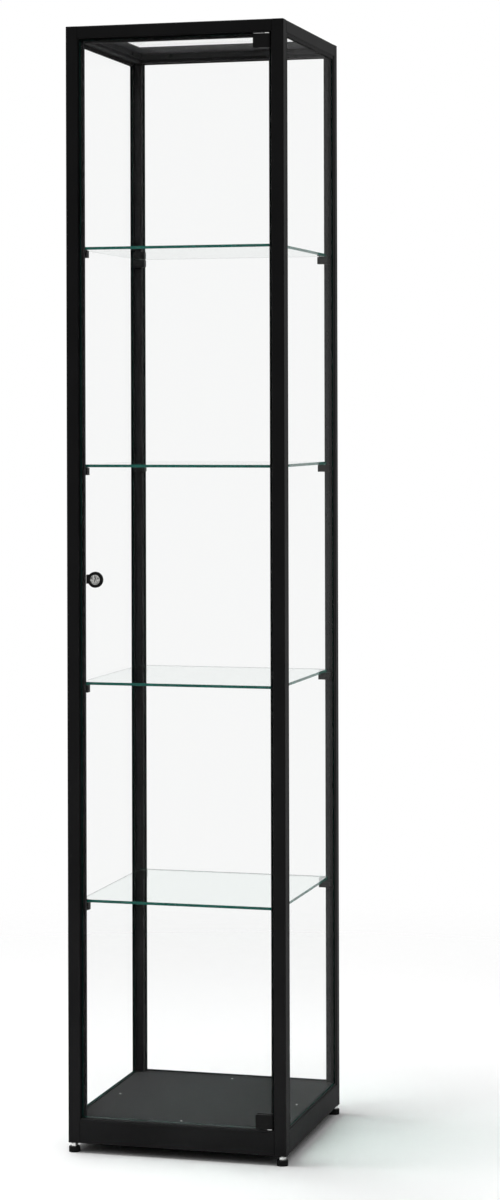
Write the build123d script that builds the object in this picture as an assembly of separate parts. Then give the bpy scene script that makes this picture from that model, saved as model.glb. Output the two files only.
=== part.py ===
from build123d import *
import math
import os

# A glass display column. The origin is on the floor at the centre, the door faces -Y, +Z is up.
# All sizes are in millimetres, and the feet are drawn screwed fully in.

# How far a cutting shape reaches past the face it opens
cut_past = 1.0

# Outer frame
frame_width = 400.0
frame_depth = 400.0
frame_height = 1983.0
foot_lift = 17.0
post_side = 22.0
post_wall = 1.5
post_corner_radius = 2.0
top_rail_height = 22.0
bottom_rail_height = 41.0
connector_edge_radius = 1.0
spigot_length = 25.0
spigot_play = 0.1

# Fixed glass and its gaskets
pane_thickness = 4.0
pane_setback = 3.0
pane_edge_gap = 1.0
gasket_wall = 1.5
gasket_play = 0.2
side_gasket_front = 12.0
side_gasket_rear = 6.0
side_gasket_top = 6.0
side_gasket_bottom = 1.5
back_gasket_edge = 1.5

# Roof
roof_side_border = 28.5
roof_end_border = 98.0
roof_sheet = 1.5
roof_flange_height = 9.5
roof_pane_thickness = 4.0
roof_seal_thickness = 0.5
roof_seal_width = 12.0
roof_play = 0.4
roof_rivet_inset = 60.0
roof_rivet_tail = 1.0

# Base panel
base_sheet = 2.0
base_inset = 2.0
base_notch_play = 0.5
bracket_leg = 18.0
bracket_width = 30.0
bracket_thickness = 2.0
rivet_radius = 2.0
rivet_head_radius = 3.6
rivet_head_height = 1.2
rivet_bore_play = 0.05
rivet_reach = 11.0

# Shelves and their supports
shelf_count = 4
lowest_shelf_top = 446.5
shelf_pitch = 387.5
shelf_thickness = 5.0
shelf_corner_radius = 1.5
shelf_side_gap = 8.5
shelf_end_play = 0.5
support_reach = 9.5
support_width = 21.5
support_depth = 14.0
support_height = 13.0
support_edge_radius = 1.2
pad_thickness = 1.0
pad_radius = 5.0
support_screw_inset = 15.5
support_screw_radius = 2.0
support_screw_head_radius = 3.2
support_screw_head_height = 3.0
support_screw_past_wall = 5.0
screw_play = 0.1

# Door
door_glass_thickness = 5.0
door_setback = 5.0
door_gap_latch = 3.0
door_gap_hinge = 3.0
door_gap_ends = 3.0
door_swing_axis_inset = 30.5

# Door stops and their bumper strips
stop_width = 8.0
stop_thickness = 6.5
stop_gap = 1.5
hinge_stop_thickness = 6.0
hinge_stop_gap = 0.5
bumper_width = 5.0
bumper_thickness = 1.1
top_stop_hinge_gap = 3.0

# Hinge blocks
block_length = 32.0
block_height = 25.0
block_front_plate = 4.5
block_rear_plate = 4.5
block_pad = 0.5
block_edge_radius = 0.8
notch_reach = 15.0
notch_height = 15.0
notch_play = 0.5
notch_corner_radius = 3.0
clamp_screw_inset = 6.0
clamp_screw_spread = 8.0
clamp_screw_radius = 2.0
clamp_screw_head_radius = 3.4
clamp_screw_head_height = 2.0
clamp_screw_bite = 2.5
clamp_hole_radius = 3.5
pin_radius = 3.0
pin_depth_in_block = 12.0
pin_reach = 9.0
pin_end_gap = 0.5
pin_socket_play = 0.02
pin_running_play = 0.05
bush_flange_radius = 7.0
bush_flange_height = 1.5
bush_body_radius = 5.0
bush_body_height = 10.0
bush_hole_play = 0.1
bush_end_gap = 1.0
washer_radius = 6.5
washer_height = 1.2

# Lock
lock_height = 1017.5
lock_inset = 52.5
rosette_radius = 14.2
rosette_bore = 9.0
rosette_edge_radius = 1.2
barrel_radius = 8.8
barrel_recess = 0.6
barrel_hole_radius = 9.2
plug_radius = 6.5
plug_running_play = 0.05
keyway_width = 1.6
keyway_height = 8.0
keyway_depth = 5.5
keyway_tilt = 20.0
nut_thickness = 4.5
nut_radius = 10.8
nut_across_flats = 19.6
thread_play = 0.05
case_height = 16.0
case_wall = 1.2
case_stop_gap = 1.5
case_nut_gap = 0.3
crank_gap = 0.25
crank_pin_radius = 1.1
crank_pin_length = 3.2
crank_slot_play = 0.3
bolt_travel = 5.0
bolt_thickness = 3.4
bolt_case_play = 0.15
bolt_rest_inset = 0.5
bolt_stop_play = 0.4
bolt_rear_play = 0.3

# Levelling feet
foot_inset = 9.0
foot_pad_radius = 10.2
foot_pad_height = 10.0
foot_pad_chamfer = 1.2
foot_rib_count = 24
foot_rib_depth = 0.7
foot_rib_foot = 1.5
foot_rib_radius = 0.9
stud_radius = 4.0
stud_insert_depth = 28.0
stud_running_play = 0.06
stud_nut_radius = 6.8
stud_nut_height = 5.0
stud_bore_depth = 32.0
stud_seat_depth = 3.0
stud_tip_chamfer = 0.8

# Places worked out from the sizes above
half_width = frame_width / 2
half_depth = frame_depth / 2
frame_bottom = foot_lift
frame_top = foot_lift + frame_height
inner_x = half_width - post_side
inner_y = half_depth - post_side
top_rail_bottom = frame_top - top_rail_height
bottom_rail_top = frame_bottom + bottom_rail_height
base_top = bottom_rail_top + base_sheet
door_front = -half_depth + door_setback
door_middle = door_front + door_glass_thickness / 2
door_rear = door_front + door_glass_thickness
door_left = -inner_x + door_gap_latch
door_right = inner_x - door_gap_hinge
door_bottom = base_top + door_gap_ends
door_top = top_rail_bottom - door_gap_ends
swing_x = half_width - door_swing_axis_inset
block_front = door_front - block_pad - block_front_plate
block_rear = door_rear + block_pad + block_rear_plate
block_end_radius = (block_rear - block_front) / 2
block_left = swing_x + block_end_radius - block_length
shelf_tops = [lowest_shelf_top + shelf_pitch * n for n in range(shelf_count)]
signs = [(-1, -1), (1, -1), (-1, 1), (1, 1)]


def box(x0, x1, y0, y1, z0, z1):
    """A box between two corners."""
    size = Box(x1 - x0, y1 - y0, z1 - z0)
    return Pos((x0 + x1) / 2, (y0 + y1) / 2, (z0 + z1) / 2) * size


def upright_rod(x, y, z0, z1, radius):
    """A round rod along Z."""
    return Pos(x, y, (z0 + z1) / 2) * Cylinder(radius, z1 - z0)


def rod_along_y(x, z, y0, y1, radius):
    """A round rod along Y."""
    return Pos(x, (y0 + y1) / 2, z) * Rot(90, 0, 0) * Cylinder(radius, y1 - y0)


def rod_along_x(y, z, x0, x1, radius):
    """A round rod along X."""
    return Pos((x0 + x1) / 2, y, z) * Rot(0, 90, 0) * Cylinder(radius, x1 - x0)


def write(shape, name):
    """One STEP file for one sub-part."""
    export_step(shape, f"parts/{name}.step")


def group(solids):
    """Several like pieces in one sub-part."""
    return Compound(children=[s for piece in solids for s in piece.solids()])


def square_tube(length, width, height, wall, radius):
    """A tube along Z with rounded outer edges, standing on the XY plane."""
    outer = extrude(RectangleRounded(width, height, radius), length)
    inner = extrude(Rectangle(width - 2 * wall, height - 2 * wall), length)
    return outer - inner


# Posts: square tube between the bottom and top corner connectors, with holes for the shelf supports.
post_low = bottom_rail_top
post_high = top_rail_bottom
post_x = half_width - post_side / 2
post_y = half_depth - post_side / 2
support_top_heights = [top - shelf_thickness - pad_thickness for top in shelf_tops]
support_middle_x = inner_x - support_reach + support_width / 2
support_screw_x = half_width - support_screw_inset
support_screw_heights = [top - support_height / 2 for top in support_top_heights]


def make_post(sx, sy):
    post = square_tube(post_high - post_low, post_side, post_side, post_wall, post_corner_radius)
    post = Pos(sx * post_x, sy * post_y, post_low) * post
    for z in support_screw_heights:
        low, high = sorted((sy * (inner_y - cut_past), sy * (inner_y + post_wall + cut_past)))
        post -= rod_along_y(sx * support_screw_x, z, low, high, support_screw_radius + screw_play)
    return post


# Corner connectors: a block that fills the frame's corner, with spigots pushed into post and rails.
spigot_side = post_side - 2 * post_wall - 2 * spigot_play
bottom_spigot_height = bottom_rail_height - 2 * post_wall - 2 * spigot_play
bush_hole_radius = bush_body_radius + bush_hole_play
bush_top_low = top_rail_bottom - bush_flange_height
bush_bottom_high = base_top + bush_flange_height
top_bush_hole = upright_rod(
    swing_x,
    door_middle,
    top_rail_bottom - cut_past,
    top_rail_bottom + bush_body_height + bush_end_gap,
    bush_hole_radius,
)
bottom_bush_hole = upright_rod(
    swing_x, door_middle, base_top - bush_body_height - bush_end_gap, base_top + cut_past, bush_hole_radius
)
foot_x = half_width - foot_inset
foot_y = half_depth - foot_inset


def corner_block(sx, sy, low, high, along_z, spigot_height):
    """A connector block from low to high, its post spigot going up (along_z 1) or down (-1)."""
    middle_z = (low + high) / 2
    centre = Pos(sx * post_x, sy * post_y, middle_z)
    block = centre * extrude(RectangleRounded(post_side, post_side, post_corner_radius), high - low)
    block = Pos(0, 0, -(high - low) / 2) * block
    end_z = high if along_z > 0 else low
    block += Pos(sx * post_x, sy * post_y, end_z + along_z * spigot_length / 2) * Box(
        spigot_side, spigot_side, spigot_length
    )
    block += Pos(sx * (inner_x - spigot_length / 2), sy * post_y, middle_z) * Box(
        spigot_length, spigot_side, spigot_height
    )
    block += Pos(sx * post_x, sy * (inner_y - spigot_length / 2), middle_z) * Box(
        spigot_side, spigot_length, spigot_height
    )
    return block


def top_connector(sx, sy):
    block = corner_block(sx, sy, top_rail_bottom, frame_top, -1, spigot_side)
    top_face = block.faces().filter_by(Axis.Z).sort_by(Axis.Z)[-1]
    block = fillet(top_face.edges(), connector_edge_radius)
    if (sx, sy) == (1, -1):
        block -= top_bush_hole
    return block


def bottom_connector(sx, sy):
    block = corner_block(sx, sy, frame_bottom, bottom_rail_top, 1, bottom_spigot_height)
    low = frame_bottom - cut_past
    high = frame_bottom + stud_bore_depth
    block -= upright_rod(sx * foot_x, sy * foot_y, low, high, stud_radius + stud_running_play)
    if (sx, sy) == (1, -1):
        block -= bottom_bush_hole
    return block


# Rails: tubes between the connectors. Those at the bottom are taller.
def rail_tube(length, height):
    """A rail lying along X, centred, its section in YZ."""
    tube = square_tube(length, height, post_side, post_wall, post_corner_radius)
    return Rot(0, 90, 0) * Pos(0, 0, -length / 2) * tube


def rail_along_x(sy, low, height):
    return Pos(0, sy * post_y, low + height / 2) * rail_tube(2 * inner_x, height)


def rail_along_y(sx, low, height):
    return Pos(sx * post_x, 0, low + height / 2) * Rot(0, 0, 90) * rail_tube(2 * inner_y, height)


roof_flange_low = frame_top - roof_pane_thickness - roof_seal_thickness - roof_sheet - roof_flange_height
roof_rivet_z = roof_flange_low + roof_flange_height / 2


def roof_rivet(along, spot, side, inner, radius_change, head):
    """A rivet from the roof tray's flange into the rail whose inner face lies at inner."""
    seat = side * (inner - roof_play - roof_sheet)
    low, high = sorted((seat, side * (inner + post_wall + roof_rivet_tail)))
    rivet = along(spot, roof_rivet_z, low, high, rivet_radius + radius_change)
    if head:
        low, high = sorted((seat, seat - side * rivet_head_height))
        rivet += along(spot, roof_rivet_z, low, high, rivet_head_radius)
    return rivet


def roof_rivets(radius_change, head):
    """Two rivets on each side of the roof; radius_change widens them into holes."""
    rivets = []
    for side in (-1, 1):
        for end in (-1, 1):
            x = end * (inner_x - roof_rivet_inset)
            y = end * (inner_y - roof_rivet_inset)
            rivets.append(roof_rivet(rod_along_y, x, side, inner_y, radius_change, head))
            rivets.append(roof_rivet(rod_along_x, y, side, inner_x, radius_change, head))
    return rivets


def cut_all(piece, tools):
    for tool in tools:
        piece -= tool
    return piece


# Base panel: a sheet on the bottom rails, notched round the posts, with a hole for the pivot bush.
def base_panel():
    panel = box(
        -half_width + base_inset,
        half_width - base_inset,
        -half_depth + base_inset,
        half_depth - base_inset,
        bottom_rail_top,
        base_top,
    )
    for sx, sy in signs:
        x0, x1 = sorted((sx * (inner_x - base_notch_play), sx * half_width))
        y0, y1 = sorted((sy * (inner_y - base_notch_play), sy * half_depth))
        panel -= box(x0, x1, y0, y1, bottom_rail_top - cut_past, base_top + cut_past)
    return cut_all(panel - bottom_bush_hole, base_rivets(rivet_bore_play, False))


def bracket_places():
    """The middle of each bracket's back, with the way it faces."""
    return [(-inner_x, 0, 1, 0), (inner_x, 0, -1, 0), (0, -inner_y, 0, 1), (0, inner_y, 0, -1)]


def base_bracket(x, y, dx, dy):
    """An angle riveted under the panel, its upright leg flat on the inside of a rail."""
    flat = Box(bracket_leg, bracket_width, bracket_thickness)
    flat = Pos(bracket_leg / 2, 0, bottom_rail_top - bracket_thickness / 2) * flat
    leg = Box(bracket_thickness, bracket_width, bracket_leg)
    leg = Pos(bracket_thickness / 2, 0, bottom_rail_top - bracket_leg / 2) * leg
    turned = Rot(0, 0, math.degrees(math.atan2(dy, dx))) * (flat + leg)
    return cut_all(Pos(x, y, 0) * turned, base_rivets(rivet_bore_play, False))


def base_rivets(radius_change, head):
    """A rivet through the panel and each bracket, its low head underneath."""
    rivets = []
    for x, y, dx, dy in bracket_places():
        low = bottom_rail_top - bracket_thickness
        centre_x = x + dx * rivet_reach
        centre_y = y + dy * rivet_reach
        rivet = upright_rod(centre_x, centre_y, low, base_top, rivet_radius + radius_change)
        if head:
            rivet += upright_rod(centre_x, centre_y, low - rivet_head_height, low, rivet_head_radius)
        rivets.append(rivet)
    return rivets


# Side and back panes, each in a rubber gasket that lines its opening in the frame. They are drawn
# facing +X, then turned to the back or mirrored to the left.
def pane(frame_face, half_opening):
    outer = frame_face - pane_setback
    span = half_opening - pane_edge_gap
    low = base_top + pane_edge_gap
    high = top_rail_bottom - pane_edge_gap
    return box(outer - pane_thickness, outer, -span, span, low, high)


def gasket(frame_face, half_opening, front_width, rear_width, top_width, bottom_width):
    """A grooved rubber frame round a pane, each of its four sides as wide as stated."""
    outer = frame_face - pane_setback
    inner = outer - pane_thickness
    low_x = inner - gasket_wall
    high_x = outer + gasket_wall
    ring = box(low_x, high_x, -half_opening, half_opening, base_top, top_rail_bottom)
    front = front_width - half_opening
    rear = half_opening - rear_width
    low = base_top + bottom_width
    high = top_rail_bottom - top_width
    ring -= box(low_x - cut_past, high_x + cut_past, front, rear, low, high)
    groove_depth = pane_edge_gap - gasket_play
    span = half_opening - groove_depth
    return ring - box(inner, outer, -span, span, base_top + groove_depth, top_rail_bottom - groove_depth)


# Roof: a black sheet tray with an oblong window, its flange riveted inside the top rails.
tray_x = inner_x - roof_play
tray_y = inner_y - roof_play
tray_high = frame_top - roof_pane_thickness - roof_seal_thickness
tray_low = tray_high - roof_sheet
window_x = inner_x - roof_side_border
window_y = inner_y - roof_end_border


def roof_tray():
    tray = box(-tray_x, tray_x, -tray_y, tray_y, roof_flange_low, tray_high)
    inside_x = tray_x - roof_sheet
    inside_y = tray_y - roof_sheet
    tray -= box(-inside_x, inside_x, -inside_y, inside_y, roof_flange_low - cut_past, tray_low)
    tray -= box(-window_x, window_x, -window_y, window_y, tray_low - cut_past, tray_high + cut_past)
    return cut_all(tray, roof_rivets(rivet_bore_play, False))


def roof_seal():
    high = tray_high + roof_seal_thickness
    seal = box(-tray_x, tray_x, -tray_y, tray_y, tray_high, high)
    inside_x = tray_x - roof_seal_width
    inside_y = tray_y - roof_seal_width
    return seal - box(-inside_x, inside_x, -inside_y, inside_y, tray_high - cut_past, high + cut_past)


def roof_pane():
    low = tray_high + roof_seal_thickness
    return box(-tray_x, tray_x, -tray_y, tray_y, low, frame_top)


# Shelves: a glass plate on four padded supports screwed to the posts.
shelf_half_x = half_width - pane_setback - pane_thickness - gasket_wall - shelf_side_gap
shelf_half_y = inner_y - shelf_end_play
support_middle_y = inner_y - support_depth / 2


def shelf(top):
    plate = Box(2 * shelf_half_x, 2 * shelf_half_y, shelf_thickness)
    plate = Pos(0, 0, top - shelf_thickness / 2) * plate
    return fillet(plate.edges().filter_by(Axis.Z), shelf_corner_radius)


def support_screw(sx, sy, z, radius_change, head_change):
    """A screw along Y from a counterbore in the support into the post's wall."""
    front_y = inner_y - support_depth
    head_y = front_y + support_screw_head_height
    end_y = inner_y + support_screw_past_wall
    low, high = sorted((sy * head_y, sy * end_y))
    screw = rod_along_y(sx * support_screw_x, z, low, high, support_screw_radius + radius_change)
    low, high = sorted((sy * front_y, sy * head_y))
    head = rod_along_y(sx * support_screw_x, z, low, high, support_screw_head_radius + head_change)
    return screw + head


def support(sx, sy, top):
    block = Box(support_width, support_depth, support_height)
    block = fillet(block.edges().filter_by(Axis.Z), support_edge_radius)
    block = Pos(sx * support_middle_x, sy * support_middle_y, top - support_height / 2) * block
    return block - support_screw(sx, sy, top - support_height / 2, screw_play, screw_play)


def support_pad(sx, sy, top):
    x = sx * (inner_x - support_reach + pad_radius + support_edge_radius)
    return upright_rod(x, sy * support_middle_y, top, top + pad_thickness, pad_radius)


# Door stops: dark strips behind the door's left and top edges, and one at the hinge side set further
# back to clear the hinge blocks as they turn.
stop_front = door_rear + stop_gap
hinge_stop_front = block_rear + hinge_stop_gap
top_stop_right = block_left - top_stop_hinge_gap


def stop_left():
    return box(
        -inner_x, -inner_x + stop_width, stop_front, stop_front + stop_thickness, base_top, top_rail_bottom
    )


def stop_top():
    left = -inner_x + stop_width
    low = top_rail_bottom - stop_width
    return box(left, top_stop_right, stop_front, stop_front + stop_thickness, low, top_rail_bottom)


def stop_right():
    high_y = hinge_stop_front + hinge_stop_thickness
    return box(inner_x - stop_width, inner_x, hinge_stop_front, high_y, base_top, top_rail_bottom)


def bumper_strips():
    """Soft strips on the left and top stops, just short of the closed door."""
    edge = (stop_width - bumper_width) / 2
    low_y = stop_front - bumper_thickness
    left = box(
        -inner_x + edge, -inner_x + edge + bumper_width, low_y, stop_front, base_top, top_rail_bottom - edge
    )
    low_z = top_rail_bottom - edge - bumper_width
    top = box(
        -inner_x + stop_width, top_stop_right, low_y, stop_front, low_z, top_rail_bottom - edge
    )
    return [left, top]


# Pivot bushes: a flange against the frame and a body let into it.
def bush(flange_z, body_direction):
    """A bush whose flange starts at flange_z, its body running up (1) or down (-1)."""
    flange_end = flange_z + body_direction * bush_flange_height
    body_end = flange_end + body_direction * bush_body_height
    low, high = sorted((flange_z, flange_end))
    piece = upright_rod(swing_x, door_middle, low, high, bush_flange_radius)
    low, high = sorted((flange_end, body_end))
    piece += upright_rod(swing_x, door_middle, low, high, bush_body_radius)
    low, high = sorted((flange_z - body_direction * cut_past, body_end + body_direction * cut_past))
    return piece - upright_rod(swing_x, door_middle, low, high, pin_radius + pin_running_play)


# Door glass: a plate notched at the two hinge corners and drilled for clamp screws and lock.
clamp_x = block_left + clamp_screw_inset
lock_x = -half_width + lock_inset
top_block_low = door_top - block_height


def clamp_heights(low):
    middle = low + block_height / 2
    return [middle - clamp_screw_spread / 2, middle + clamp_screw_spread / 2]


all_clamp_heights = clamp_heights(top_block_low) + clamp_heights(door_bottom)


def rounded_inner_corner(block, direction):
    """Rounds the corner of a block that points to the middle of the glass."""
    left_edges = block.edges().filter_by(Axis.Y).sort_by(Axis.X)[:2].sort_by(Axis.Z)
    return fillet(left_edges[0] if direction > 0 else left_edges[-1], notch_corner_radius)


def notch(corner_z, direction):
    """The cut in the glass at a hinge corner."""
    low, high = sorted((corner_z, corner_z - direction * notch_height))
    left = door_right - notch_reach
    cut = box(left, door_right + cut_past, door_front - cut_past, door_rear + cut_past, low, high)
    return rounded_inner_corner(cut, direction)


def through_glass(x, z, radius):
    return rod_along_y(x, z, door_front - cut_past, door_rear + cut_past, radius)


def door_glass():
    plate = box(door_left, door_right, door_front, door_rear, door_bottom, door_top)
    plate -= notch(door_top, 1)
    plate -= notch(door_bottom, -1)
    for z in all_clamp_heights:
        plate -= through_glass(clamp_x, z, clamp_hole_radius)
    return plate - through_glass(lock_x, lock_height, barrel_hole_radius)


# Hinge blocks: a front plate with a core that fills the notch, a rear plate, pads between and screws.
def block_outline(low):
    """The block's full shape, its end rounded about the swing axis."""
    body = box(block_left, swing_x, block_front, block_rear, low, low + block_height)
    return body + upright_rod(swing_x, door_middle, low, low + block_height, block_end_radius)


def between(piece, y0, y1):
    """The part of a piece from y0 to y1."""
    wide = frame_width
    return piece & box(-wide, wide, y0, y1, 0, frame_top)


def pin_socket(low, direction):
    """The hole for a pivot pin, from the block's outer end inwards."""
    outer_end = low + block_height if direction > 0 else low
    inner_end = outer_end - direction * pin_depth_in_block
    z0, z1 = sorted((outer_end + direction * cut_past, inner_end))
    return upright_rod(swing_x, door_middle, z0, z1, pin_radius + pin_socket_play)


def clamp_screw(z, radius_change, head_change):
    """A screw from the rear plate into the front one, its head sunk in the rear face."""
    tip_y = door_front - block_pad - clamp_screw_bite
    shank = rod_along_y(clamp_x, z, tip_y, block_rear, clamp_screw_radius + radius_change)
    head_y = block_rear - clamp_screw_head_height
    return shank + rod_along_y(clamp_x, z, head_y, block_rear, clamp_screw_head_radius + head_change)


def front_plate(low, direction):
    outline = block_outline(low)
    plate = between(outline, block_front, door_front - block_pad)
    core_left = door_right - notch_reach + notch_play
    if direction > 0:
        core_low = low + block_height - notch_height + notch_play
        core_high = low + block_height
    else:
        core_low = low
        core_high = low + notch_height - notch_play
    core = outline & box(
        core_left, half_width, door_front - block_pad, door_rear + block_pad, core_low, core_high
    )
    plate = fillet(plate.edges().filter_by(Axis.Z).sort_by(Axis.X)[0], block_edge_radius)
    plate += rounded_inner_corner(core, direction)
    for z in clamp_heights(low):
        plate -= clamp_screw(z, pin_socket_play, screw_play)
    return plate - pin_socket(low, direction)


def rear_plate(low, direction):
    plate = between(block_outline(low), door_rear + block_pad, block_rear)
    for z in clamp_heights(low):
        plate -= clamp_screw(z, screw_play, screw_play)
    return plate - pin_socket(low, direction)


def hinge_pads(low, direction):
    """Soft sheets between plates and glass, cut away where the core is."""
    pads = []
    for y0, y1 in ((door_front - block_pad, door_front), (door_rear, door_rear + block_pad)):
        pad = box(block_left, door_right - notch_reach, y0, y1, low, low + block_height)
        for z in clamp_heights(low):
            pad -= through_glass(clamp_x, z, clamp_hole_radius)
        pads.append(pad)
    return pads


def pivot_pin(low, direction):
    outer_end = low + block_height if direction > 0 else low
    inner_end = outer_end - direction * (pin_depth_in_block - pin_end_gap)
    z0, z1 = sorted((inner_end, outer_end + direction * pin_reach))
    return upright_rod(swing_x, door_middle, z0, z1, pin_radius)


def hinge_washer(low, direction):
    outer_end = low + block_height if direction > 0 else low
    z0, z1 = sorted((outer_end, outer_end + direction * washer_height))
    ring = upright_rod(swing_x, door_middle, z0, z1, washer_radius)
    bore_radius = pin_radius + pin_socket_play
    return ring - upright_rod(swing_x, door_middle, z0 - cut_past, z1 + cut_past, bore_radius)


# Lock: a rosette and barrel through the glass, a nut and bolt case behind it, a plug and a bolt.
barrel_front = -half_depth + barrel_recess
nut_rear = door_rear + nut_thickness
case_front = nut_rear + case_nut_gap
case_left = -inner_x + stop_width + case_stop_gap
case_end_radius = case_height / 2
bolt_end_radius = case_end_radius - case_wall - bolt_case_play
bolt_front = stop_front + stop_thickness + bolt_stop_play
bolt_rear = bolt_front + bolt_thickness
crank_rear = bolt_front - crank_gap
case_rear = bolt_rear + bolt_rear_play + case_wall


def along_lock(y0, y1, radius):
    return rod_along_y(lock_x, lock_height, y0, y1, radius)


def rosette():
    ring = along_lock(-half_depth, door_front, rosette_radius)
    outer_edge = ring.edges().filter_by(GeomType.CIRCLE).sort_by(Axis.Y)[0]
    bore = along_lock(-half_depth - cut_past, door_front + cut_past, rosette_bore)
    return fillet(outer_edge, rosette_edge_radius) - bore


def barrel():
    body = along_lock(barrel_front, case_front, barrel_radius)
    return body - along_lock(barrel_front - cut_past, case_front + cut_past, plug_radius + plug_running_play)


def lock_nut():
    """A slim round nut with two flats."""
    half = nut_across_flats / 2
    nut = along_lock(door_rear, nut_rear, nut_radius)
    low = lock_height - half
    high = lock_height + half
    nut &= box(lock_x - nut_radius, lock_x + nut_radius, door_rear, nut_rear, low, high)
    return nut - along_lock(door_rear - cut_past, nut_rear + cut_past, barrel_radius + thread_play)


def tongue(left, y0, y1, radius):
    """A flat bar from left to the lock, where it ends round about the lock's axis."""
    bar = box(left, lock_x, y0, y1, lock_height - radius, lock_height + radius)
    return bar + along_lock(y0, y1, radius)


def lock_case():
    """A thin shell open at the end that faces the stop, with a hole for the plug."""
    case = tongue(case_left, case_front, case_rear, case_end_radius)
    inner_radius = case_end_radius - case_wall
    case -= tongue(case_left - cut_past, case_front + case_wall, case_rear - case_wall, inner_radius)
    hole_end = case_front + case_wall + cut_past
    return case - along_lock(case_front - cut_past, hole_end, plug_radius + plug_running_play)


# The crank pin rests 45 degrees from the top and ends 45 degrees past it, so it moves the bolt by
# twice its offset.
crank_pin_x = lock_x + bolt_travel / 2
crank_pin_z = lock_height + bolt_travel / 2
crank_pin_highest = lock_height + bolt_travel / math.sqrt(2)


def plug():
    """A turning core with a keyway, and a crank pin that drives the bolt."""
    core = along_lock(barrel_front, crank_rear, plug_radius)
    keyway = Rot(0, keyway_tilt, 0) * Box(keyway_width, keyway_depth + cut_past, keyway_height)
    core -= Pos(lock_x, barrel_front + (keyway_depth - cut_past) / 2, lock_height) * keyway
    pin_rear = crank_rear + crank_pin_length
    return core + rod_along_y(crank_pin_x, crank_pin_z, crank_rear, pin_rear, crank_pin_radius)


def lock_bolt():
    """A flat bolt in the case with an upright slot for the crank pin, drawn back."""
    plate = tongue(case_left + bolt_rest_inset, bolt_front, bolt_rear, bolt_end_radius)
    radius = crank_pin_radius + crank_slot_play
    y0 = bolt_front - cut_past
    y1 = bolt_rear + cut_past
    slot = box(crank_pin_x - radius, crank_pin_x + radius, y0, y1, crank_pin_z, crank_pin_highest)
    slot += rod_along_y(crank_pin_x, crank_pin_z, y0, y1, radius)
    slot += rod_along_y(crank_pin_x, crank_pin_highest, y0, y1, radius)
    return plate - slot


# Levelling feet: a ribbed pad moulded on a stud that screws into the bottom connector.
def foot_pad(sx, sy):
    x = sx * foot_x
    y = sy * foot_y
    pad = upright_rod(0, 0, 0, foot_pad_height, foot_pad_radius)
    rims = pad.edges().filter_by(GeomType.CIRCLE)
    pad = chamfer(rims.sort_by(Axis.Z)[-1], foot_pad_chamfer)
    past_top = foot_pad_height + cut_past
    reach = foot_pad_radius + foot_rib_radius - foot_rib_depth
    groove = upright_rod(reach, 0, foot_rib_foot, past_top, foot_rib_radius)
    for n in range(foot_rib_count):
        pad -= Rot(0, 0, 360 * n / foot_rib_count) * groove
    pad -= upright_rod(0, 0, foot_pad_height - stud_seat_depth, past_top, stud_radius)
    return Pos(x, y, 0) * pad


def foot_stud(sx, sy):
    x = sx * foot_x
    y = sy * foot_y
    high = frame_bottom + stud_insert_depth
    stud = upright_rod(0, 0, foot_pad_height - stud_seat_depth, high, stud_radius)
    stud = chamfer(stud.edges().filter_by(GeomType.CIRCLE).sort_by(Axis.Z)[-1], stud_tip_chamfer)
    hexagon = extrude(RegularPolygon(stud_nut_radius, 6), stud_nut_height)
    return Pos(x, y, 0) * (stud + Pos(0, 0, foot_pad_height) * hexagon)


os.makedirs("parts", exist_ok=True)

post_names = {(-1, -1): "front_left", (1, -1): "front_right", (-1, 1): "rear_left", (1, 1): "rear_right"}
for (sx, sy), name in post_names.items():
    write(make_post(sx, sy), f"post_{name}")
    write(foot_pad(sx, sy), f"foot_pad_{name}")
    write(foot_stud(sx, sy), f"foot_stud_{name}")

write(group([top_connector(sx, sy) for sx, sy in signs]), "top_corner_connectors")
write(group([bottom_connector(sx, sy) for sx, sy in signs]), "bottom_corner_connectors")

roof_rivet_holes = roof_rivets(rivet_bore_play, False)
for sy, name in ((-1, "front"), (1, "rear")):
    top_rail = cut_all(rail_along_x(sy, top_rail_bottom, top_rail_height), roof_rivet_holes)
    bottom_rail = rail_along_x(sy, frame_bottom, bottom_rail_height)
    if sy < 0:
        top_rail -= top_bush_hole
        bottom_rail -= bottom_bush_hole
    write(top_rail, f"top_rail_{name}")
    write(bottom_rail, f"bottom_rail_{name}")
for sx, name in ((-1, "left"), (1, "right")):
    top_rail = cut_all(rail_along_y(sx, top_rail_bottom, top_rail_height), roof_rivet_holes)
    write(top_rail, f"top_rail_{name}")
    write(rail_along_y(sx, frame_bottom, bottom_rail_height), f"bottom_rail_{name}")

write(base_panel(), "base_panel")
write(group([base_bracket(*place) for place in bracket_places()]), "base_panel_brackets")
write(group(base_rivets(0, True)), "base_panel_rivets")

side_pane = pane(half_width, inner_y)
side_gasket = gasket(
    half_width, inner_y, side_gasket_front, side_gasket_rear, side_gasket_top, side_gasket_bottom
)
back_gasket = gasket(
    half_depth, inner_x, back_gasket_edge, back_gasket_edge, back_gasket_edge, back_gasket_edge
)
to_the_back = Rot(0, 0, 90)
write(mirror(side_pane, about=Plane.YZ), "left_glass")
write(side_pane, "right_glass")
write(to_the_back * pane(half_depth, inner_x), "back_glass")
write(group([mirror(side_gasket, about=Plane.YZ), side_gasket, to_the_back * back_gasket]), "glass_gaskets")

write(roof_tray(), "roof_tray")
write(roof_seal(), "roof_seal")
write(roof_pane(), "roof_glass")
write(group(roof_rivets(0, True)), "roof_tray_rivets")

supports = []
support_screws = []
support_pads = []
for number, top in enumerate(shelf_tops, start=1):
    write(shelf(top), f"shelf_{number}")
    support_top = top - shelf_thickness - pad_thickness
    for sx, sy in signs:
        supports.append(support(sx, sy, support_top))
        support_screws.append(support_screw(sx, sy, support_top - support_height / 2, 0, 0))
        support_pads.append(support_pad(sx, sy, support_top))
write(group(supports), "shelf_supports")
write(group(support_screws), "shelf_support_screws")
write(group(support_pads), "shelf_support_pads")

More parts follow.
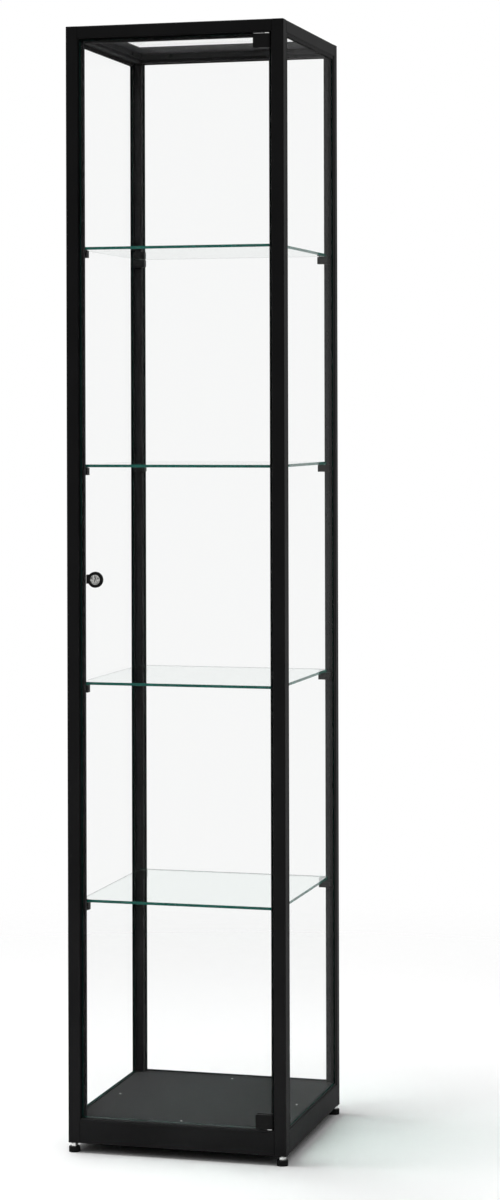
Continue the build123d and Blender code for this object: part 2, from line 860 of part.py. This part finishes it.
write(stop_left(), "door_stop_left")
write(stop_top(), "door_stop_top")
write(stop_right(), "door_stop_right")
write(group(bumper_strips()), "door_bumper_strips")
write(bush(bush_top_low, 1), "top_pivot_bush")
write(bush(bush_bottom_high, -1), "bottom_pivot_bush")

hinges = [(top_block_low, 1), (door_bottom, -1)]
write(door_glass(), "door_glass")
write(group([front_plate(*hinge) for hinge in hinges]), "hinge_front_plates")
write(group([rear_plate(*hinge) for hinge in hinges]), "hinge_rear_plates")
write(group([pad for hinge in hinges for pad in hinge_pads(*hinge)]), "hinge_pads")
write(group([clamp_screw(z, 0, 0) for z in all_clamp_heights]), "hinge_clamp_screws")
write(group([pivot_pin(*hinge) for hinge in hinges]), "hinge_pivot_pins")
write(group([hinge_washer(*hinge) for hinge in hinges]), "hinge_washers")

write(rosette(), "lock_rosette")
write(barrel(), "lock_barrel")
write(lock_nut(), "lock_nut")
write(lock_case(), "lock_case")
write(plug(), "lock_plug")
write(lock_bolt(), "lock_bolt")
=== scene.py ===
import math

import bmesh
import bpy
from mathutils import Matrix, Vector

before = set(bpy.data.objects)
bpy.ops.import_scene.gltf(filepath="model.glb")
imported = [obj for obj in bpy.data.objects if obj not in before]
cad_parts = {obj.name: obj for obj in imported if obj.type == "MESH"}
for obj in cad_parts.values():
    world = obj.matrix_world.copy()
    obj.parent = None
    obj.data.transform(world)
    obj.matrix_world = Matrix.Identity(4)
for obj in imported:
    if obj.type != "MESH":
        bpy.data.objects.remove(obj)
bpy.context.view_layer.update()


# The view: a long lens at chest height, to the right of the door. The lens is kept level and
# shifted down, so that the posts stay upright in the picture.
lens = bpy.data.cameras.new("lens")
lens.sensor_width = 36.0
picture_height = 1200
focal_pixels = 2880.0
lens.lens = focal_pixels * lens.sensor_width / picture_height
axis_row = 412.7
lens.shift_y = -(picture_height / 2 - axis_row) / picture_height
lens.clip_end = 100.0
camera = bpy.data.objects.new("camera", lens)
bpy.context.scene.collection.objects.link(camera)
bpy.context.scene.camera = camera
camera_place = (1.462, -5.052, 1.313)
view_turn = math.radians(15.26)
view_tilt = math.radians(90)
view_roll = math.radians(-0.15)
camera.matrix_world = (
    Matrix.Translation(camera_place)
    @ Matrix.Rotation(view_turn, 4, "Z")
    @ Matrix.Rotation(view_tilt, 4, "X")
    @ Matrix.Rotation(view_roll, 4, "Z")
)
bpy.context.scene.view_settings.view_transform = "Standard"


# The room: a white floor that fades into a white surround. The light comes mostly from above, as
# under a wide cloth, with one soft lamp high up, a little to the left. The surround is plain white
# where it is seen, mirrored or seen through glass.
def node_tree(owner):
    """An empty node tree on a material, world or lamp, with ways to add nodes and wires."""
    owner.use_nodes = True
    tree = owner.node_tree
    tree.nodes.clear()

    def add(kind, **settings):
        node = tree.nodes.new("ShaderNode" + kind)
        for key, value in settings.items():
            if hasattr(node, key):
                setattr(node, key, value)
            else:
                node.inputs[key.replace("_", " ")].default_value = value
        return node

    def wire(source, out, target, into):
        tree.links.new(source.outputs[out], target.inputs[into])

    return add, wire


surround = bpy.data.worlds.new("surround")
bpy.context.scene.world = surround
add, wire = node_tree(surround)
seen = add("Background", Color=(1, 1, 1, 1), Strength=1.0)
lighting = add("Background", Color=(1, 1, 1, 1))
direction = add("TexCoord")
height = add("SeparateXYZ")
wire(direction, "Generated", height, 0)
brightening = add("MapRange")
brightening.inputs["From Min"].default_value = 0.25
brightening.inputs["From Max"].default_value = 1.0
brightening.inputs["To Min"].default_value = 0.06
brightening.inputs["To Max"].default_value = 0.85
wire(height, "Z", brightening, "Value")
wire(brightening, 0, lighting, "Strength")
ray = add("LightPath")
camera_or_mirror = add("Math", operation="MAXIMUM")
wire(ray, "Is Camera Ray", camera_or_mirror, 0)
wire(ray, "Is Glossy Ray", camera_or_mirror, 1)
any_sight = add("Math", operation="MAXIMUM")
wire(camera_or_mirror, 0, any_sight, 0)
wire(ray, "Is Transmission Ray", any_sight, 1)
choose = add("MixShader")
wire(any_sight, 0, choose, 0)
wire(lighting, 0, choose, 1)
wire(seen, 0, choose, 2)
wire(choose, 0, add("OutputWorld"), 0)

floor_radius = 4.0
floor_mesh = bpy.data.meshes.new("floor")
shape = bmesh.new()
bmesh.ops.create_circle(shape, cap_ends=True, segments=96, radius=floor_radius)
shape.to_mesh(floor_mesh)
shape.free()
floor = bpy.data.objects.new("floor", floor_mesh)
bpy.context.scene.collection.objects.link(floor)
floor_paint = bpy.data.materials.new("floor_paint")
add, wire = node_tree(floor_paint)
matt = add("BsdfDiffuse", Color=(0.97, 0.97, 0.97, 1))
clear = add("BsdfTransparent")
place = add("NewGeometry")
length = add("VectorMath", operation="LENGTH")
wire(place, "Position", length, 0)
fade = add("MapRange", interpolation_type="SMOOTHSTEP")
fade.inputs["From Min"].default_value = 0.9
fade.inputs["From Max"].default_value = 2.6
wire(length, "Value", fade, "Value")
choose = add("MixShader")
wire(fade, 0, choose, 0)
wire(matt, 0, choose, 1)
wire(clear, 0, choose, 2)
wire(choose, 0, add("OutputMaterial"), 0)
floor_mesh.materials.append(floor_paint)

lamp_side = 1.1
lamp_aim = Vector((0, 0, 0.9))
lamp_data = bpy.data.lights.new("wide_lamp", "AREA")
lamp_data.shape = "RECTANGLE"
lamp_data.size = lamp_side
lamp_data.size_y = lamp_side
lamp_data.energy = 150.0
lamp = bpy.data.objects.new("wide_lamp", lamp_data)
bpy.context.scene.collection.objects.link(lamp)
lamp.location = (-0.55, -0.1, 4.8)
lamp.rotation_euler = (lamp_aim - lamp.location).to_track_quat("-Z", "Y").to_euler()


# The frame: square steel tube, its corners pushed onto connectors, all coated in a fine matt
# black powder that is a little pebbled and a little duller in places.
def coat(name, colour, change, roughness, shine, grain):
    """A powder coat: two colours mixed by soft clouds, with a pebbled surface."""
    smoother = 0.05
    rougher = 0.07
    paint = bpy.data.materials.new(name)
    add, wire = node_tree(paint)
    where = add("TexCoord")
    clouds = add("TexNoise", Scale=9.0, Detail=3.0)
    pebbles = add("TexNoise", Scale=grain, Detail=2.0)
    wire(where, "Object", clouds, "Vector")
    wire(where, "Object", pebbles, "Vector")
    tone = add("ValToRGB")
    tone.color_ramp.elements[0].position = 0.35
    tone.color_ramp.elements[1].position = 0.7
    tone.color_ramp.elements[0].color = (*colour, 1)
    tone.color_ramp.elements[1].color = (*(c * change for c in colour), 1)
    wire(clouds, 0, tone, 0)
    dull = add("MapRange")
    dull.inputs["To Min"].default_value = roughness - smoother
    dull.inputs["To Max"].default_value = roughness + rougher
    wire(pebbles, 0, dull, "Value")
    bump = add("Bump", Strength=0.25, Distance=0.0001)
    wire(pebbles, 0, bump, "Height")
    skin = add("BsdfPrincipled")
    skin.inputs["Specular IOR Level"].default_value = shine
    wire(tone, 0, skin, "Base Color")
    wire(dull, 0, skin, "Roughness")
    wire(bump, 0, skin, "Normal")
    wire(skin, 0, add("OutputMaterial"), 0)
    return paint


def dress(material, *names):
    """Gives CAD pieces their finish."""
    for name in names:
        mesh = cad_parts[name].data
        mesh.materials.clear()
        mesh.materials.append(material)


corners = ("front_left", "front_right", "rear_left", "rear_right")
sides = ("front", "rear", "left", "right")
frame_black = coat(
    "frame_black",
    (0.0125, 0.0125, 0.0129),
    change=1.35,
    roughness=0.6,
    shine=0.05,
    grain=2600.0,
)
dress(frame_black, *(f"post_{corner}" for corner in corners))
dress(frame_black, *(f"top_rail_{side}" for side in sides))
dress(frame_black, *(f"bottom_rail_{side}" for side in sides))
dress(frame_black, "top_corner_connectors", "bottom_corner_connectors")
dress(frame_black, "door_stop_left", "door_stop_top", "door_stop_right")


# The roof: a folded steel sheet tray with an oblong window, riveted inside the top rails. Its coat
# is a little greyer than the frame's.
roof_black = coat(
    "roof_black",
    (0.03, 0.03, 0.031),
    change=1.2,
    roughness=0.6,
    shine=0.06,
    grain=2200.0,
)
dress(roof_black, "roof_tray")
dress(frame_black, "roof_tray_rivets")


# The base: a flat steel sheet in a dark grey coat. It is notched round the posts, lies on the
# bottom rails and is riveted to angle brackets under it.
base_grey = coat(
    "base_grey",
    (0.026, 0.026, 0.0265),
    change=1.15,
    roughness=0.7,
    shine=0.015,
    grain=1800.0,
)
dress(base_grey, "base_panel")


# Zinc plated fixings: brackets and rivets under the base, the screws of the hinge blocks, and the
# nut and bolt of the lock. The plating is worn to fine scratches.
def metal(name, colour, roughness, brush, bite):
    """Plated or brushed metal with fine scratches of varying dullness."""
    smooth_part = 0.6
    dull_part = 1.5
    steel = bpy.data.materials.new(name)
    add, wire = node_tree(steel)
    where = add("TexCoord")
    stretch = add("Mapping")
    stretch.inputs["Scale"].default_value = brush
    wire(where, "Object", stretch, "Vector")
    scratches = add("TexNoise", Scale=1.0, Detail=3.0)
    wire(stretch, 0, scratches, "Vector")
    dull = add("MapRange")
    dull.inputs["To Min"].default_value = roughness * smooth_part
    dull.inputs["To Max"].default_value = roughness * dull_part
    wire(scratches, 0, dull, "Value")
    bump = add("Bump", Strength=bite, Distance=0.00005)
    wire(scratches, 0, bump, "Height")
    skin = add("BsdfPrincipled", Metallic=1.0)
    skin.inputs["Base Color"].default_value = (*colour, 1)
    wire(dull, 0, skin, "Roughness")
    wire(bump, 0, skin, "Normal")
    wire(skin, 0, add("OutputMaterial"), 0)
    return steel


zinc = metal("zinc_steel", (0.52, 0.52, 0.49), roughness=0.32, brush=(900, 900, 2600), bite=0.3)
dress(zinc, "base_panel_brackets", "base_panel_rivets", "hinge_clamp_screws")
dress(zinc, "lock_nut", "lock_bolt")


# The panes: float glass, almost without colour, held in gaskets, with dark green cut edges. Light
# passes straight through them to the inside. They are set to bend light less than real glass
# does, since real glass would mirror the white room and grey the posts.
def float_glass(name, through, edge, bend, thin_way):
    """Glass whose narrow faces, those that do not point along thin_way, have the edge colour."""
    pane = bpy.data.materials.new(name)
    add, wire = node_tree(pane)
    where = add("TexCoord")
    waves = add("TexNoise", Scale=3.0, Detail=1.0)
    wire(where, "Object", waves, "Vector")
    smear = add("MapRange")
    smear.inputs["To Min"].default_value = 0.0
    smear.inputs["To Max"].default_value = 0.012
    wire(waves, 0, smear, "Value")
    facing = add("SeparateXYZ")
    wire(where, "Normal", facing, 0)
    straight_on = add("Math", operation="ABSOLUTE")
    wire(facing, thin_way, straight_on, 0)
    broad_face = add("Math", operation="GREATER_THAN")
    broad_face.inputs[1].default_value = 0.7
    wire(straight_on, 0, broad_face, 0)
    tone = add("ValToRGB")
    tone.color_ramp.interpolation = "CONSTANT"
    tone.color_ramp.elements[0].color = (*edge, 1)
    tone.color_ramp.elements[1].position = 0.5
    tone.color_ramp.elements[1].color = (*through, 1)
    wire(broad_face, 0, tone, 0)
    body = add("BsdfPrincipled")
    body.inputs["IOR"].default_value = bend
    wire(tone, 0, body, "Base Color")
    wire(broad_face, 0, body, "Transmission Weight")
    wire(smear, 0, body, "Roughness")
    clear = add("BsdfTransparent", Color=(*through, 1))
    ray = add("LightPath")
    choose = add("MixShader")
    wire(ray, "Is Shadow Ray", choose, 0)
    wire(body, 0, choose, 1)
    wire(clear, 0, choose, 2)
    wire(choose, 0, add("OutputMaterial"), "Surface")
    return pane


pane_clear = (0.963, 0.966, 0.965)
pane_edge = (0.006, 0.030, 0.024)
side_pane = float_glass("side_pane_glass", pane_clear, pane_edge, bend=1.02, thin_way="X")
dress(side_pane, "left_glass", "right_glass")
upright_pane = float_glass("upright_pane_glass", pane_clear, pane_edge, bend=1.05, thin_way="Y")
dress(upright_pane, "back_glass", "door_glass")
roof_pane = float_glass("roof_pane_glass", pane_clear, pane_edge, bend=1.015, thin_way="Z")
dress(roof_pane, "roof_glass")


# The shelves: plates of thicker float glass with polished edges, which look bottle green along
# their length. Each lies loose on four supports.
shelf_clear = (0.90, 0.945, 0.93)
shelf_edge = (0.007, 0.085, 0.066)
shelf_glass = float_glass("shelf_glass", shelf_clear, shelf_edge, bend=1.3, thin_way="Z")
dress(shelf_glass, *(f"shelf_{number}" for number in range(1, 5)))


# Rubber and nylon: black rubber gaskets, roof seal, bumpers and hinge pads, and the supports of
# the shelves, pivot bushes and feet, moulded in black nylon. The soft pads that the shelves lie
# on are a little greyer.
def moulded(name, colour, roughness, shine, grain):
    """Rubber or nylon: a fine grain that mixes a darker and a lighter tone."""
    darker = 0.8
    lighter = 1.25
    uneven = 0.08
    stuff = bpy.data.materials.new(name)
    add, wire = node_tree(stuff)
    where = add("TexCoord")
    grains = add("TexNoise", Scale=grain, Detail=4.0)
    wire(where, "Object", grains, "Vector")
    tone = add("ValToRGB")
    tone.color_ramp.elements[0].color = (*(c * darker for c in colour), 1)
    tone.color_ramp.elements[1].color = (*(c * lighter for c in colour), 1)
    wire(grains, 0, tone, 0)
    dull = add("MapRange")
    dull.inputs["To Min"].default_value = roughness - uneven
    dull.inputs["To Max"].default_value = roughness + uneven
    wire(grains, 0, dull, "Value")
    bump = add("Bump", Strength=0.2, Distance=0.0001)
    wire(grains, 0, bump, "Height")
    skin = add("BsdfPrincipled")
    skin.inputs["Specular IOR Level"].default_value = shine
    wire(tone, 0, skin, "Base Color")
    wire(dull, 0, skin, "Roughness")
    wire(bump, 0, skin, "Normal")
    wire(skin, 0, add("OutputMaterial"), 0)
    return stuff


rubber = moulded("rubber_black", (0.010, 0.010, 0.010), roughness=0.75, shine=0.1, grain=1500.0)
dress(rubber, "glass_gaskets", "roof_seal", "door_bumper_strips", "hinge_pads")
nylon = moulded("black_nylon", (0.007, 0.007, 0.007), roughness=0.5, shine=0.1, grain=1100.0)
dress(nylon, "shelf_supports", "top_pivot_bush", "bottom_pivot_bush")
dress(nylon, *(f"foot_pad_{corner}" for corner in corners))
soft_clear = moulded("clear_soft", (0.05, 0.056, 0.053), roughness=0.4, shine=0.3, grain=900.0)
dress(soft_clear, "shelf_support_pads")


# The hinge blocks and the lock's shell: satin black castings, with bright plated pins and washers.
# The feet's studs are plated in the same way, and the screws of the shelf supports are black.
hinge_black = coat(
    "hinge_black",
    (0.0075, 0.0075, 0.0077),
    change=1.2,
    roughness=0.5,
    shine=0.08,
    grain=3200.0,
)
dress(hinge_black, "hinge_front_plates", "hinge_rear_plates", "lock_rosette", "lock_case")
dress(hinge_black, "shelf_support_screws")
bright = metal(
    "bright_steel",
    (0.72, 0.72, 0.71),
    roughness=0.14,
    brush=(600, 2400, 600),
    bite=0.15,
)
dress(bright, "hinge_pivot_pins", "hinge_washers")
dress(bright, *(f"foot_stud_{corner}" for corner in corners))


# The lock's core: a cast cylinder with a turning plug, nickel plated and worn, its face blotched
# bright and dull. The keyway and all that lies behind the face are painted near black: painted
# shade.
lock_steel = bpy.data.materials.new("lock_steel")
add, wire = node_tree(lock_steel)
where = add("TexCoord")
blotches = add("TexNoise", Scale=430.0, Detail=3.0, Roughness=0.7)
wire(where, "Object", blotches, "Vector")
tone = add("ValToRGB")
tone.color_ramp.elements[0].position = 0.36
tone.color_ramp.elements[1].position = 0.66
tone.color_ramp.elements[0].color = (0.035, 0.035, 0.034, 1)
tone.color_ramp.elements[1].color = (0.62, 0.62, 0.60, 1)
wire(blotches, 0, tone, 0)
place = add("SeparateXYZ")
wire(where, "Object", place, 0)
face_y = -0.1991
behind_face = add("Math", operation="GREATER_THAN")
behind_face.inputs[1].default_value = face_y
wire(place, "Y", behind_face, 0)
# Painted shade: every point behind the face plane gets a near-black colour, standing in for the
# shade in the keyway and recess.
painted_shade = add("MixRGB")
painted_shade.inputs["Color2"].default_value = (0.012, 0.012, 0.012, 1)
wire(behind_face, 0, painted_shade, 0)
wire(tone, 0, painted_shade, 1)
bump = add("Bump", Strength=0.6, Distance=0.0001)
wire(blotches, 0, bump, "Height")
dull = add("MapRange")
dull.inputs["To Min"].default_value = 0.22
dull.inputs["To Max"].default_value = 0.5
wire(blotches, 0, dull, "Value")
skin = add("BsdfPrincipled", Metallic=1.0)
wire(painted_shade, 0, skin, "Base Color")
wire(dull, 0, skin, "Roughness")
wire(bump, 0, skin, "Normal")
wire(skin, 0, add("OutputMaterial"), 0)
dress(lock_steel, "lock_barrel", "lock_plug")
